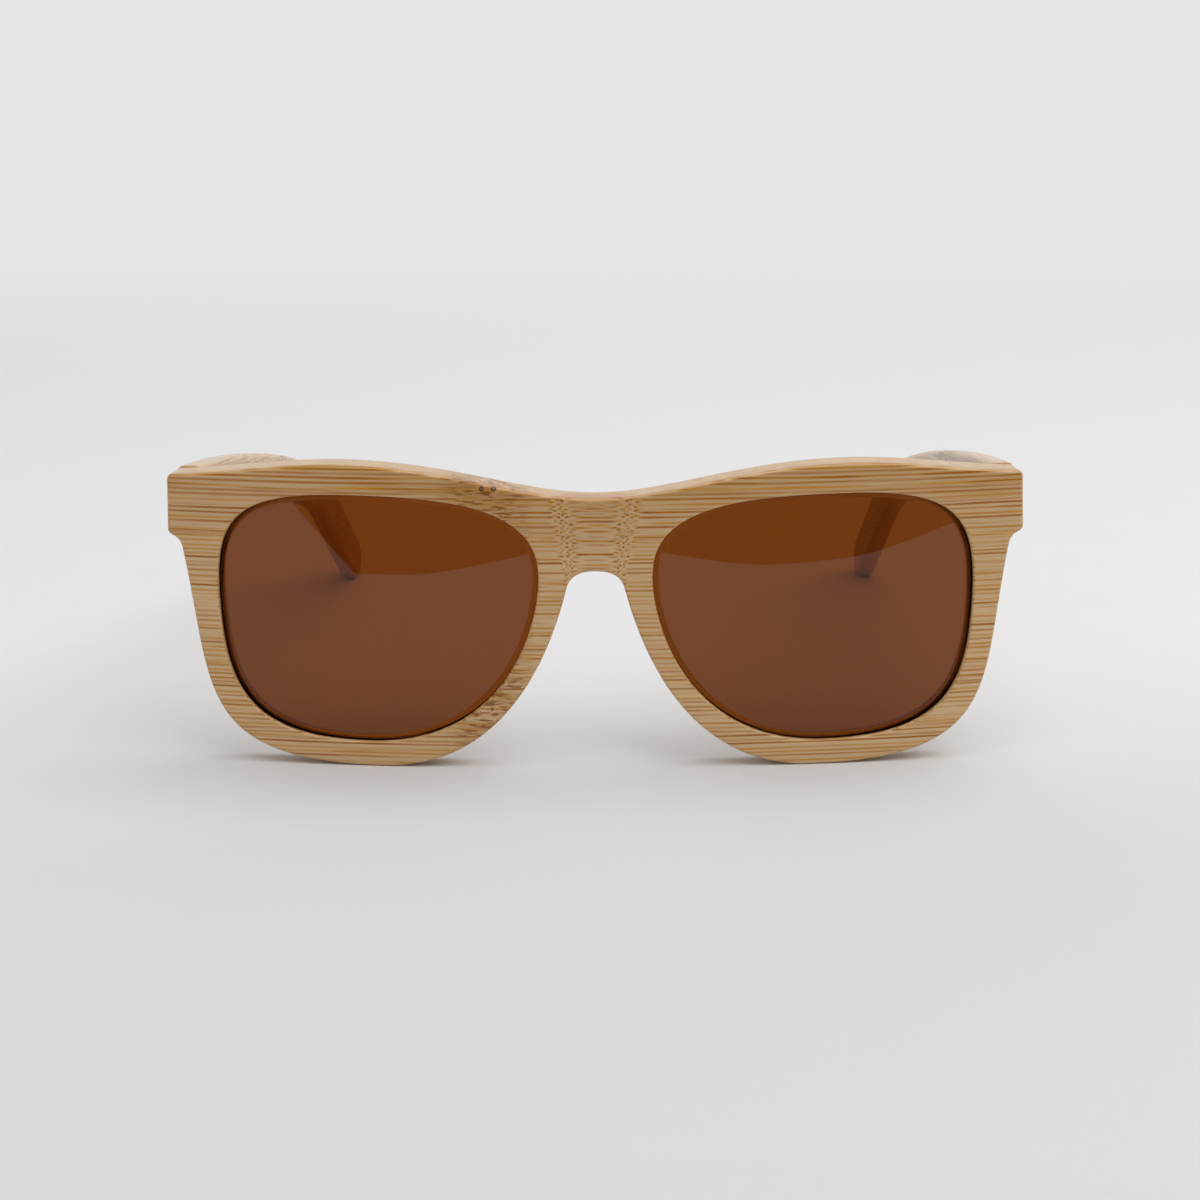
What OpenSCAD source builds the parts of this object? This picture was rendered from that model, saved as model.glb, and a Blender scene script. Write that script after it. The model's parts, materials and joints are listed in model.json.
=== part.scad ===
// Wooden sunglasses standing open on their rims and temple tips.
// A carved bamboo front holds two tinted lenses in a V-groove, and each bamboo temple
// swings on a sprung hinge: a slider knuckle, a rod, a coil spring and a screwed box.
// X runs across the front, Y from the front to the temple tips, Z up from the table.
// Left and right are as seen from in front. The origin is on the table, mid-way.

/* [Lenses] */
// Width of one lens opening
lens_w = 54.7; // [44:0.1:62]
// Height of one lens opening
lens_h = 44; // [34:0.1:52]
// Thickness of a lens
lens_t = 1.8; // [1.4:0.1:2.4]
// Bulge of a lens at its middle
lens_crown = 1; // [0.4:0.1:1.4]
// Depth of the lens edge behind the face of the front
lens_set = 1.1; // [1:0.1:1.6]
// Width of the bevel round the front edge of a lens
lens_bevel = 0.7; // [0.3:0.1:0.9]
// Depth of the groove that holds the lens
groove_d = 0.9; // [0.5:0.1:1.2]
// Clearance between the lens edge and its groove
lens_fit = 0.05; // [0.02:0.01:0.1]

/* [Front] */
// Thickness of the front, face to back
front_t = 5.2; // [4.8:0.1:7]
// Distance between the two lens openings
bridge_gap = 19.2; // [16:0.1:24]
// Height of the bridge at its middle
bridge_h = 12.6; // [8:0.1:15]
// Drop from the top of the brow to the top of the bridge
bridge_dip = 5.4; // [2:0.1:9]
// Width of the nose arch where the rims part
nose_w = 9.8; // [8:0.1:13]
// Wood above the lens at the top of the brow
brow_h = 5.1; // [4:0.1:8]
// Wood below the lens
rim_low = 4.5; // [3:0.1:7]
// Wood outside the lens, below the end piece
rim_side = 5.9; // [4:0.1:7]
// Reach of the end piece past the lens
end_reach = 8.2; // [8:0.1:11]
// Height of the end piece and of the temple that meets it
end_h = 10.3; // [8.6:0.1:12]
// Drop from the top of the brow to the top of the end piece
end_drop = 2.3; // [0.5:0.1:4]
// How much wider the end piece reaches at its lower corner than at its upper one
end_flare = 0.5; // [0:0.1:0.8]
// Radius of the end piece's upper corner
end_r = 1; // [0.8:0.1:2]
// Radius of the end piece's lower corner
heel_r = 0.7; // [0.7:0.1:1.2]
// Radius that the front is curved to, seen from above
wrap_r = 450; // [300:10:900]
// Angle that the front leans forward when it stands
front_lean = 3; // [0:0.5:6]
// Rounding of the front's outer edges
edge_r = 0.6; // [0.4:0.1:0.7]
// Chamfer round the lens openings
lens_chamfer = 0.4; // [0.2:0.1:0.6]
// Extra thickness of the carved nose rests
nose_swell = 2.2; // [0:0.1:4]
// Slant of the nose rests, from front to back
nose_splay = 1.2; // [0:0.1:2]

/* [Temples] */
// Thickness of a temple at the hinge
temple_t = 4.5; // [4:0.1:5.5]
// Thickness of a temple at its tip
tip_t = 3.9; // [3:0.1:5]
// Height of the hook behind the ear
hook_h = 9; // [7:0.1:11]
// Length of the arched arm, from the hinge to the bend
arm_l = 84; // [74:1:96]
// Radius of the arched arm
arm_r = 420; // [300:10:900]
// Radius of the bend over the ear
bend_r = 50; // [35:1:80]
// Angle of the bend over the ear
bend_angle = 20; // [12:1:32]
// Straight length of the hook after the bend
hook_l = 31; // [22:1:40]
// Rounding of the temple's long edges
temple_r = 1.2; // [0.6:0.1:1.8]
// Angle that each temple leans inwards
converge = 3.8; // [1:0.1:6]
// Gap between the temple and the front when open
butt_gap = 0.25; // [0.1:0.05:0.5]

/* [Hinges] */
// Radius of the hinge knuckles
knuckle_r = 1.5; // [1.4:0.1:1.7]
// Height of each of the two knuckles on the front leaf
leaf_knuckle_h = 1.5; // [1.3:0.1:1.8]
// Height of the slider's knuckle between them
slider_knuckle_h = 1.6; // [1.4:0.1:1.8]
// Gap between neighbouring knuckles
knuckle_gap = 0.1; // [0.05:0.01:0.15]
// Radius of the hinge screw's shank
hinge_screw_r = 0.65; // [0.55:0.05:0.75]
// Running clearance round the hinge screw and the slider's rod
run_fit = 0.05; // [0.02:0.01:0.08]
// Distance of the hinge axis inside the temple's inner face
axis_inset = 0.6; // [0.4:0.1:0.8]
// Thickness of the front leaf
leaf_t = 1; // [0.8:0.1:1.2]
// Reach of the front leaf inwards from the hinge axis
leaf_reach = 5.2; // [4.8:0.1:5.6]
// Margin of the front leaf above and below its knuckles
leaf_margin = 0.5; // [0.4:0.1:0.8]
// Distance of the leaf screws from the hinge axis
leaf_screw_x = 3.5; // [3.2:0.1:3.8]
// Radius of the wood screws' shanks
wood_screw_r = 0.45; // [0.35:0.05:0.5]
// Radius of the wood screws' heads
wood_head_r = 0.85; // [0.75:0.05:0.95]
// Height of the screw heads
head_h = 0.5; // [0.4:0.05:0.6]
// Length of the wood screws below the metal
wood_screw_l = 2.4; // [1.6:0.1:2.6]
// Wall between the spring box's bore and its inner face
box_wall = 0.4; // [0.3:0.05:0.5]
// Thickness of the spring box's front wall
box_front = 1.2; // [0.8:0.1:1.6]
// Thickness of the spring box's rear wall
box_rear = 1; // [0.6:0.1:1.4]
// Depth of the spring box in the temple
box_sink = 1.2; // [1:0.1:1.4]
// Length of the spring box's tail plate
tail_l = 5.6; // [5:0.1:7]
// Thickness of the tail plate
tail_t = 1; // [0.8:0.1:1.2]
// Radius of the slider's rod
rod_r = 0.5; // [0.4:0.05:0.55]
// Diameter of the spring's wire
wire_d = 0.3; // [0.2:0.05:0.3]
// Radial room between the spring and what it slides on
spring_room = 0.15; // [0.1:0.05:0.2]
// Number of curls in the spring
spring_curls = 10; // [6:1:11]
// Length of the spring when the temple is at rest
spring_l = 8.2; // [8:0.1:10]
// Thickness of the stop nut on the rod
stop_t = 0.8; // [0.6:0.1:1.2]

/* [Hidden] */
$fn = 48;
touch = 0.02;
cut = 1;

// Where the lens opening turns upright or level, as shares of its height and width
nose_turn = 0.69;
temple_turn = 0.585;
top_turn = 0.61;
foot_turn = 0.54;

// Lens opening: its box, then the points where it turns
lens_x0 = bridge_gap / 2;
lens_x1 = lens_x0 + lens_w;
lens_z0 = rim_low;
lens_z1 = lens_z0 + lens_h;
lens_nose = [lens_x0, lens_z0 + nose_turn * lens_h];
lens_temple = [lens_x1, lens_z0 + temple_turn * lens_h];
lens_top = [lens_x0 + top_turn * lens_w, lens_z1];
lens_foot = [lens_x0 + foot_turn * lens_w, lens_z0];
lens_middle = [lens_x0 + lens_w / 2, lens_z0 + lens_h / 2];

// Slants of the outline: beside the nose, under the end piece and down the rim
arch_slant = 14;
under_slant = 24;
heel_slant = 8.5;
arch_lean = [sin(arch_slant), -cos(arch_slant)];
under_lean = [-cos(under_slant), -sin(under_slant)];
heel_lean = [-sin(heel_slant), -cos(heel_slant)];

// Front outline: heights of the brow, bridge, arch and end piece, and the rim's outside
arch_drop = 3.1;
heel_drop = 2.5;
peak_shift = 0.5;
foot_shift = 2;
brow_z = lens_z1 + brow_h;
bridge_z = brow_z - bridge_dip;
arch_z = bridge_z - bridge_h;
arch_foot = [nose_w / 2, arch_z - arch_drop];
end_x = lens_x1 + end_reach;
end_top = brow_z - end_drop;
end_low = end_top - end_h;
end_top_corner = [end_x - end_flare, end_top];
end_low_corner = [end_x, end_low];
heel = [lens_x1 + rim_side, end_low - heel_drop];
rim_foot = [lens_foot[0] - foot_shift, 0];
brow_peak = [lens_top[0] + peak_shift, brow_z];

function bezier(p, t) =
    let (s = 1 - t)
    s * s * s * p[0] + 3 * s * s * t * p[1] + 3 * s * t * t * p[2] + t * t * t * p[3];
function bezier_run(p, t) =
    let (s = 1 - t)
    s * s * (p[1] - p[0]) + 2 * s * t * (p[2] - p[1]) + t * t * (p[3] - p[2]);
function unit(v) = v / norm(v);
function right_of(v) = [v[1], -v[0]];
function left_of(v) = [-v[1], v[0]];
function mix(a, b, t) = a + (b - a) * t;

// A quarter of the lens opening from one turning point to the next, with its two handles
function quarter(from, to, upright_first, pulls) =
    let (
        corner = upright_first ? [from[0], to[1]] : [to[0], from[1]]
    )
    [from, mix(from, corner, pulls[0]), mix(to, corner, pulls[1]), to];

// Lengths of those handles, as shares of the way to the corner of the opening's box
nose_top_pulls = [0.88, 0.55];
temple_top_pulls = [0.81, 0.74];
temple_low_pulls = [0.65, 0.87];
nose_low_pulls = [0.77, 0.33];
lens_nose_top = quarter(lens_nose, lens_top, true, nose_top_pulls);
lens_temple_top = quarter(lens_top, lens_temple, false, temple_top_pulls);
lens_temple_low = quarter(lens_temple, lens_foot, true, temple_low_pulls);
lens_nose_low = quarter(lens_foot, lens_nose, false, nose_low_pulls);

// Lengths of the outline's handles, clockwise from the bridge
bridge_pull = 12.7;
brow_in_pull = 19;
brow_out_pull = 8.6;
brow_end_pull = 8.3;
brow_end_rise = 0.45;
corner_pull = 0.45;
under_pull = 1.3;
heel_up_pull = 0.9;
heel_down_pull = 25.3;
foot_out_pull = 34.1;
foot_in_pull = 19;
arch_low_pull = 16.4;
arch_up_pull = 2.4;
arch_top_pull = 2.5;

// The front's outline, clockwise from the bridge, as curves with handles
bridge_top = [0, bridge_z];
arch_top = [0, arch_z];
brow_end = end_top_corner - [end_r, 0];
under_start = end_low_corner + heel_r * under_lean;
bridge_cut = [for (i = [0:3]) mix(arch_top, bridge_top, i / 3)];
brow_inner = [
    bridge_top,
    bridge_top + [bridge_pull, 0],
    brow_peak - [brow_in_pull, 0],
    brow_peak
];
brow_outer = [
    brow_peak,
    brow_peak + [brow_out_pull, 0],
    brow_end + [-brow_end_pull, brow_end_rise],
    brow_end
];
end_corner = [
    brow_end,
    end_top_corner - [corner_pull * end_r, 0],
    end_top_corner - [0, corner_pull * end_r],
    end_top_corner - [0, end_r]
];
end_edge = [
    for (i = [0:3])
    mix(end_top_corner - [0, end_r], end_low_corner + [0, heel_r], i / 3)
];
heel_corner = [
    end_low_corner + [0, heel_r],
    end_low_corner + [0, corner_pull * heel_r],
    end_low_corner + corner_pull * heel_r * under_lean,
    under_start
];
end_under = [
    under_start,
    under_start + under_pull * under_lean,
    heel - heel_up_pull * heel_lean,
    heel
];
rim_outer = [
    heel,
    heel + heel_down_pull * heel_lean,
    rim_foot + [foot_out_pull, 0],
    rim_foot
];
rim_nose = [
    rim_foot,
    rim_foot - [foot_in_pull, 0],
    arch_foot + arch_low_pull * arch_lean,
    arch_foot
];
nose_arch = [
    arch_foot,
    arch_foot - arch_up_pull * arch_lean,
    arch_top + [arch_top_pull, 0],
    arch_top
];

// Stretches of the rim: outer curve and its part, lens quarter and its part, steps,
// and whether the outer edge is rounded there (it isn't where the two halves meet)
stretches = [
    [bridge_cut, 0.2, 1, lens_nose_top, 0.06, 0.3, 4, 0],
    [brow_inner, 0, 1, lens_nose_top, 0.3, 1, 9, 1],
    [brow_outer, 0, 1, lens_temple_top, 0, 0.5, 6, 1],
    [end_corner, 0, 1, lens_temple_top, 0.5, 0.54, 2, 1],
    [end_edge, 0, 1, lens_temple_top, 0.54, 0.7, 2, 1],
    [heel_corner, 0, 1, lens_temple_top, 0.7, 0.74, 3, 1],
    [end_under, 0, 1, lens_temple_top, 0.74, 0.85, 6, 1],
    [rim_outer, 0, 0.1, lens_temple_top, 0.85, 1, 2, 1],
    [rim_outer, 0.1, 1, lens_temple_low, 0, 1, 12, 1],
    [rim_nose, 0, 0.5, lens_nose_low, 0, 0.4, 6, 1],
    [rim_nose, 0.5, 1, lens_nose_low, 0.4, 0.9, 6, 1],
    [nose_arch, 0, 1, lens_nose_low, 0.9, 1, 4, 1],
    [nose_arch, 1, 1, lens_nose_low, 1, 1, 1, 1]
];

// Each station: outer point, lens point, and the way into the wood from each of them
stations = [
    for (s = stretches)
    for (i = [0 : s[6] - 1])
    let (
        o = mix(s[1], s[2], i / s[6]),
        l = mix(s[4], s[5], i / s[6])
    )
    [
        bezier(s[0], o),
        bezier(s[3], l),
        s[7] * right_of(unit(bezier_run(s[0], o))),
        left_of(unit(bezier_run(s[3], l)))
    ]
];
station_count = len(stations);

// Depth of the curved face behind the bridge, and of the back, thicker at the nose rests.
// The board is bent after it is cut, so depth is measured square to the curved face.
function sag(x) = wrap_r - sqrt(wrap_r * wrap_r - x * x);
nose_reach = 5;
nose_rise = 11;
function nose_share(p) =
    exp(-pow((p[0] - lens_x0) / nose_reach, 2) - pow((p[1] - lens_middle[1]) / nose_rise, 2));
function back_y(p) = front_t + nose_swell * nose_share(p);
function in_front(p, y) =
    let (turn = asin(p[0] / wrap_r))
    [p[0] - y * sin(turn), sag(p[0]) + y * cos(turn), p[1]];

groove_y = lens_set + lens_t / 2;
groove_half = lens_t / 2 + lens_fit;

// Section of the front at a station, from the lens's front lip round to its groove
function rim_section(s) =
    let (
        slant = nose_splay * nose_share(s[0]),
        out_back = s[0] + s[2] * slant,
        lip = s[1] + s[3] * lens_chamfer,
        face = s[0] + s[2] * edge_r,
        rear = out_back + s[2] * edge_r,
        small = edge_r * (1 - cos(45))
    )
    [
        in_front(s[1], lens_chamfer),
        in_front(lip, 0),
        in_front(face, 0),
        in_front(s[0] + s[2] * small, small),
        in_front(s[0], edge_r),
        in_front(out_back, back_y(out_back) - edge_r),
        in_front(out_back + s[2] * small, back_y(out_back) - small),
        in_front(rear, back_y(rear)),
        in_front(lip, back_y(lip)),
        in_front(s[1], back_y(s[1]) - lens_chamfer),
        in_front(s[1], groove_y + groove_half),
        in_front(s[1] + s[3] * groove_d, groove_y),
        in_front(s[1], groove_y - groove_half)
    ];

half_front = [for (s = stations) each rim_section(s)];
section_count = len(half_front) / station_count;
cut_first = 2;
cut_last = 7;

function on_cut(i, j) = stations[i][0][0] < 0.001 && j >= cut_first && j <= cut_last;
function front_index(side, i, j) =
    (side == 0 || on_cut(i, j) ? 0 : len(half_front)) + i * section_count + j;
function two_triangles(a, b, c, d) = [[a, b, c], [a, c, d]];

// Quads of both halves; the halves share the points on the bridge's middle plane
front_faces = [
    for (side = [0, 1])
    for (i = [0 : station_count - 1])
    for (j = [0 : section_count - 1])
    let (
        i2 = (i + 1) % station_count,
        j2 = (j + 1) % section_count,
        inside = on_cut(i, j) && on_cut(i2, j) && on_cut(i, j2) && on_cut(i2, j2),
        a = front_index(side, i, j),
        b = front_index(side, i2, j),
        c = front_index(side, i2, j2),
        d = front_index(side, i, j2)
    )
    if (!inside)
    each side == 0 ? two_triangles(d, c, b, a) : two_triangles(a, b, c, d)
];
front_points = concat(half_front, [for (p = half_front) [-p[0], p[1], p[2]]]);

// How the front stands: it leans forward about the foot of its face
function leaned(p) = [
    p[0],
    p[1] * cos(front_lean) - p[2] * sin(front_lean),
    p[1] * sin(front_lean) + p[2] * cos(front_lean)
];
leaned_front = [for (p = half_front) leaned(p)];
front_lift = -min([for (p = leaned_front) p[2]]);
front_near = min([for (p = leaned_front) p[1]]);

// Hinge seat on the back of the end piece, and the hinge axis behind it
knuckle_stack = 2 * leaf_knuckle_h + slider_knuckle_h + 2 * knuckle_gap;
back_r = wrap_r - front_t;
axis_x = (end_x - end_flare / 2) * back_r / wrap_r - temple_t - axis_inset;
axis_z = (end_top + end_low) / 2;
seat_y = wrap_r - sqrt(back_r * back_r - axis_x * axis_x);
seat_turn = asin(axis_x / back_r);
seat_tilt = 8;
seat_room = 0.1;
axis_off = knuckle_r + seat_room + knuckle_stack / 2 * tan(seat_tilt);
leaf_h = knuckle_stack + 2 * leaf_margin;
axis_in_front = [axis_x - axis_off * sin(seat_turn), seat_y + axis_off * cos(seat_turn), axis_z];
axis_leaned = leaned(axis_in_front) + [0, 0, front_lift];

// Temple's centre line in its own plane: arched arm, bend and straight hook
deg = 180 / PI;
arm_turn = arm_l / arm_r * deg;
hook_turn = arm_turn + bend_angle;
bend_l = bend_r * bend_angle / deg;
tip_r = hook_h / 2;
arm_end = [arm_r * sin(arm_turn), -arm_r * (1 - cos(arm_turn))];
bend_end = arm_end + bend_r * [sin(hook_turn) - sin(arm_turn), cos(hook_turn) - cos(arm_turn)];
tip_centre = bend_end + hook_l * [cos(hook_turn), -sin(hook_turn)];

// Slope of the temple at the hinge that brings its rounded tip down onto the table
temple_slope = asin((axis_leaned[2] - tip_r) / norm(tip_centre))
    + atan2(tip_centre[1], tip_centre[0]);

// Temple stations: distance along the centre line, and past the middle of the round tip
butt_run = 5;
arm_steps = 14;
bend_steps = 6;
hook_steps = 2;
tip_turns = [20, 38, 53, 65, 75, 83, 88];
tip_start = arm_l + bend_l + hook_l;
temple_l = tip_start + tip_r;
temple_stations = concat(
    [for (i = [0 : arm_steps - 1]) [mix(-butt_run, arm_l, i / arm_steps), 0]],
    [for (i = [0 : bend_steps - 1]) [arm_l + bend_l * i / bend_steps, 0]],
    [for (i = [0 : hook_steps]) [arm_l + bend_l + hook_l * i / hook_steps, 0]],
    [for (a = tip_turns) [tip_start, tip_r * sin(a)]]
);

// Point and turn of the centre line at a distance along it
function arm_at(s) =
    let (a = s / arm_r * deg)
    [arm_r * sin(a), -arm_r * (1 - cos(a)), a];
function bend_at(s) =
    let (a = arm_turn + s / bend_r * deg)
    [
        arm_end[0] + bend_r * (sin(a) - sin(arm_turn)),
        arm_end[1] + bend_r * (cos(a) - cos(arm_turn)),
        a
    ];
function hook_at(s) = [
    bend_end[0] + s * cos(hook_turn),
    bend_end[1] - s * sin(hook_turn),
    hook_turn
];
function temple_at(s) =
    s < arm_l ? arm_at(s) : s < arm_l + bend_l ? bend_at(s - arm_l) : hook_at(s - arm_l - bend_l);

// Rounded cross-section of the temple, square to its centre line. Past the tip's middle its
// points lie on circles round that middle, and its long edges stay rounded round the end.
side_share = 0.95;
function temple_section(s, past) =
    let (
        c = temple_at(s),
        t = mix(temple_t, tip_t, max(0, s) / temple_l) / 2,
        half = mix(end_h, hook_h, max(0, min(1, s / arm_l))) / 2,
        mid = axis_inset + temple_t / 2,
        inner = half - temple_r,
        most = past > inner ? side_share * acos((past - inner) / temple_r) : 90
    )
    [
        for (q = [[1, 1], [1, -1], [-1, -1], [-1, 1]])
        for (k = [0:2])
        let (
            a = most / 2 * (q[0] * q[1] > 0 ? k : 2 - k),
            ring = inner + temple_r * cos(a),
            x = q[0] * (t - temple_r + temple_r * sin(a)),
            h = q[1] * sqrt(ring * ring - past * past)
        )
        [
            mid + x,
            c[0] + past * cos(c[2]) + h * sin(c[2]),
            c[1] - past * sin(c[2]) + h * cos(c[2])
        ]
    ];
temple_points = [for (s = temple_stations) each temple_section(s[0], s[1])];
temple_sides = len(temple_points) / len(temple_stations);

// How far back the tips reach, and the middle of the whole length
function reach_of(p) =
    (p[0] * sin(converge) + p[1] * cos(converge)) * cos(temple_slope) + p[2] * sin(temple_slope);
tip_far = axis_leaned[1] + max([for (p = temple_points) reach_of(p)]);
middle_y = (front_near + tip_far) / 2;

// Triangles of a closed tube of rings, with flat ends
function tube_faces(rings, around) = concat(
    [
        for (i = [0 : rings - 2])
        for (j = [0 : around - 1])
        let (
            k = (j + 1) % around,
            a = i * around,
            b = a + around
        )
        each two_triangles(a + j, b + j, b + k, a + k)
    ],
    [[for (j = [0 : around - 1]) j]],
    [[for (j = [0 : around - 1]) rings * around - 1 - j]]
);

// Lens rings, from the middle out: its front, the bevel, the edge in the groove, its back
lens_rings = [0.4, 0.75, 1];
bevel_slope = 30;
bevel_y = lens_set + lens_bevel * tan(bevel_slope);
function lens_bulge(f) = lens_crown * (1 - f * f);
function lens_ring(f, side, inset) = [
    for (s = stations)
    let (p = mix(lens_middle, s[1] - s[3] * inset, f))
    in_front(p, groove_y + side * lens_t / 2 - lens_bulge(f))
];
lens_points = concat(
    [in_front(lens_middle, groove_y - lens_t / 2 - lens_crown)],
    [for (f = lens_rings) each lens_ring(f, -1, lens_bevel)],
    [for (s = stations) in_front(s[1], bevel_y)],
    [for (s = stations) in_front(s[1] + s[3] * (groove_d - lens_fit), groove_y)],
    [for (k = [len(lens_rings) - 1 : -1 : 0]) each lens_ring(lens_rings[k], 1, 0)],
    [in_front(lens_middle, groove_y + lens_t / 2 - lens_crown)]
);
lens_ring_count = 2 * len(lens_rings) + 2;
lens_last = lens_ring_count * station_count + 1;
lens_faces = concat(
    [for (j = [0 : station_count - 1]) [0, 1 + j, 1 + (j + 1) % station_count]],
    [
        for (i = [0 : lens_ring_count - 2])
        for (j = [0 : station_count - 1])
        let (
            k = (j + 1) % station_count,
            a = 1 + i * station_count,
            b = a + station_count
        )
        each two_triangles(a + j, b + j, b + k, a + k)
    ],
    [
        for (j = [0 : station_count - 1])
        let (a = lens_last - station_count)
        [lens_last, a + (j + 1) % station_count, a + j]
    ]
);

// Slots of the screws, and room round the screw's head, the neck, the knuckles and the stop
slot_w = 0.24;
slot_d = 0.2;
head_wall = 0.4;
neck_room = 0.1;
knuckle_room = 0.5;
stop_room = 1;
pocket_room = 0.25;

// Hinge sizes along the temple, from the axis backwards
head_r = knuckle_r - head_wall;
neck_r = slider_knuckle_h / 2 - neck_room;
bore_r = rod_r + 2 * spring_room + wire_d;
box_in = bore_r + box_wall;
box_out = axis_inset + box_sink;
box_y = knuckle_r + knuckle_room;
spring_y = box_y + box_front;
stop_y = spring_y + spring_l;
bore_end = stop_y + stop_t + stop_room;
box_end = bore_end + box_rear;
box_h = knuckle_stack;
box_chamfer = 0.6;
pocket_h = knuckle_stack + 2 * pocket_room;
tail_screw_step = tail_l / 2;
coil_r = rod_r + spring_room + wire_d / 2;

// Coil spring: centre line of the wire, then rings of the wire round it
rings_per_curl = 8;
wire_sides = 6;
coil_rings = spring_curls * rings_per_curl;
coil_l = spring_l - wire_d - 2 * run_fit;
coil_turns = [for (i = [0:coil_rings]) i / rings_per_curl];
function coil_at(n) = [
    coil_r * cos(360 * n),
    spring_y + run_fit + wire_d / 2 + coil_l * n / spring_curls,
    coil_r * sin(360 * n)
];
function wire_ring(n) =
    let (
        out = [cos(360 * n), 0, sin(360 * n)],
        round = 2 * PI * coil_r,
        run = unit([-round * sin(360 * n), coil_l / spring_curls, round * cos(360 * n)]),
        side = cross(run, out)
    )
    [
        for (k = [0 : wire_sides - 1])
        let (a = 360 * k / wire_sides)
        coil_at(n) + wire_d / 2 * (cos(a) * out + sin(a) * side)
    ];
coil_points = [for (n = coil_turns) each wire_ring(n)];
coil_gap = min([
    for (i = [0:coil_rings])
    for (j = [i + rings_per_curl / 2 : 1 : coil_rings])
    norm(coil_at(coil_turns[i]) - coil_at(coil_turns[j]))
]) - wire_d;
echo(spring_gap = coil_gap);

// Puts the front's own frame onto the table
module standing() {
    translate([0, -middle_y, front_lift])
        rotate([front_lean, 0, 0])
            children();
}

// Frame on the back of the right end piece: Y points out of the wood
module at_seat() {
    standing()
        translate([axis_x, seat_y, axis_z])
            rotate([0, 0, seat_turn])
                children();
}

// Frame on the right hinge axis: Y runs along the temple, Z along the axis
module at_axis() {
    translate(axis_leaned - [0, middle_y, 0])
        rotate([-temple_slope, 0, 0])
            rotate([0, 0, converge])
                children();
}

// The same piece on the left
module on_left() {
    mirror([1, 0, 0]) children();
}

module along_y(from, to, r) {
    translate([0, from, 0])
        rotate([-90, 0, 0])
            cylinder(r = r, h = to - from);
}

module along_x(from, to, r) {
    translate([from, 0, 0])
        rotate([0, 90, 0])
            cylinder(r = r, h = to - from);
}

// Recess for the leaf and pilot holes for its screws, in the seat's frame
module leaf_recess() {
    translate([-leaf_reach - touch, -leaf_t - touch, -leaf_h / 2 - touch])
        cube([leaf_reach + knuckle_r + 2 * touch, leaf_t + cut, leaf_h + 2 * touch]);
    leaf_screw_places()
        along_y(-leaf_t - wood_screw_l - touch, 0, wood_screw_r + touch);
}

module leaf_screw_places() {
    for (side = [-1, 1])
        translate([-leaf_screw_x, 0, side * leaf_h / 4])
            children();
}

module front_frame() {
    color("burlywood")
        difference() {
            standing()
                polyhedron(front_points, front_faces);
            at_seat()
                leaf_recess();
            on_left()
                at_seat()
                    leaf_recess();
        }
}

module lens_right() {
    color("saddlebrown", 0.6)
        standing()
            polyhedron(lens_points, lens_faces);
}

module lens_left() {
    on_left() lens_right();
}

// Pocket for the knuckles, the spring box and its screws, in the axis's frame
module box_pocket() {
    translate([-cut, -butt_run - cut, -pocket_h / 2])
        cube([cut + box_out + touch, butt_run + cut + box_end + tail_l + touch, pocket_h]);
    tail_screw_places()
        along_x(box_out, box_out + wood_screw_l + touch, wood_screw_r + touch);
}

module tail_screw_places() {
    for (k = [0, 1])
        translate([0, box_end + (k + 0.5) * tail_screw_step, 0])
            children();
}

module temple_right() {
    color("burlywood")
        difference() {
            at_axis()
                polyhedron(temple_points, tube_faces(len(temple_stations), temple_sides));
            at_axis()
                box_pocket();
            at_seat()
                translate([-end_reach, -2 * butt_run, -end_h])
                    cube([2 * end_reach, 2 * butt_run + butt_gap, 2 * end_h]);
        }
}

module temple_left() {
    on_left() temple_right();
}

// Two knuckles on webs that stand on a plate let into the end piece
module front_leaf_right() {
    knuckle_low = slider_knuckle_h / 2 + knuckle_gap;
    color("silver") {
        difference() {
            union() {
                at_seat()
                    difference() {
                        translate([-leaf_reach, -leaf_t, -leaf_h / 2])
                            cube([leaf_reach + knuckle_r, leaf_t, leaf_h]);
                        leaf_screw_places() {
                            along_y(-leaf_t - cut, cut, wood_screw_r + touch);
                            along_y(-head_h, cut, wood_head_r + touch);
                        }
                    }
                at_axis()
                    for (z = [knuckle_low, -knuckle_low - leaf_knuckle_h])
                        translate([0, 0, z]) {
                            cylinder(r = knuckle_r, h = leaf_knuckle_h);
                            translate([-knuckle_r, -axis_off - leaf_t / 2, 0])
                                cube([2 * knuckle_r, axis_off + leaf_t / 2, leaf_knuckle_h]);
                        }
            }
            at_axis() {
                translate([0, 0, -knuckle_stack])
                    cylinder(r = hinge_screw_r + touch, h = 2 * knuckle_stack);
                translate([0, 0, knuckle_stack / 2 - head_h])
                    cylinder(r = head_r + touch, h = head_h + cut);
            }
        }
    }
}

module front_leaf_left() {
    on_left() front_leaf_right();
}

module slotted_head(r, h) {
    difference() {
        cylinder(r = r, h = h);
        translate([-r, -slot_w / 2, h - slot_d])
            cube([2 * r, slot_w, slot_d + cut]);
    }
}

module leaf_screws_right() {
    color("gainsboro")
        at_seat()
            leaf_screw_places() {
                along_y(-leaf_t - wood_screw_l, -head_h, wood_screw_r);
                translate([0, -head_h, 0])
                    rotate([-90, 0, 0])
                        slotted_head(wood_head_r, head_h);
            }
}

module leaf_screws_left() {
    on_left() leaf_screws_right();
}

module hinge_screw_right() {
    color("gainsboro")
        at_axis() {
            translate([0, 0, -knuckle_stack / 2])
                cylinder(r = hinge_screw_r, h = knuckle_stack - head_h);
            translate([0, 0, knuckle_stack / 2 - head_h])
                slotted_head(head_r, head_h);
        }
}

module hinge_screw_left() {
    on_left() hinge_screw_right();
}

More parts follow.
